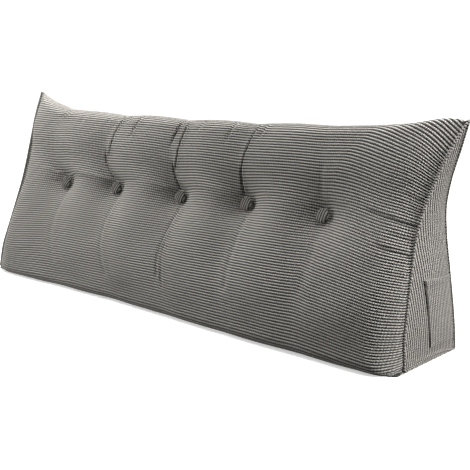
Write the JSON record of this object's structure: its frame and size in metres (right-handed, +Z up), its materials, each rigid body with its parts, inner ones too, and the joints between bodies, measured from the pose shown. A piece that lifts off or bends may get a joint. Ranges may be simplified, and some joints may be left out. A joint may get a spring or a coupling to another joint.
{
  "type": "backrest pillow",
  "caption": "Long wedge-shaped backrest pillow that stands on its base, tufted with covered buttons, with a patch pocket on one end.",
  "frame": {"origin": "centre of the flat base, on the floor", "axes": "+X along the pillow, +Y towards its upright back, +Z up"},
  "size_m": [1.372, 0.2648, 0.4994],
  "materials": {
    "ribbed_cloth": "ribbed corduroy with a waffle grain, matt",
    "button_cloth": "ribbed corduroy stretched over a button, matt",
    "pocket_cloth": "ribbed corduroy, hemmed, matt"
  },
  "bodies": {
    "root": {"pillow_body": "ribbed_cloth", "button_1": "button_cloth", "button_2": "button_cloth", "button_3": "button_cloth", "button_4": "button_cloth", "button_5": "button_cloth", "side_pocket": "pocket_cloth"}
  },
  "joints": []
}
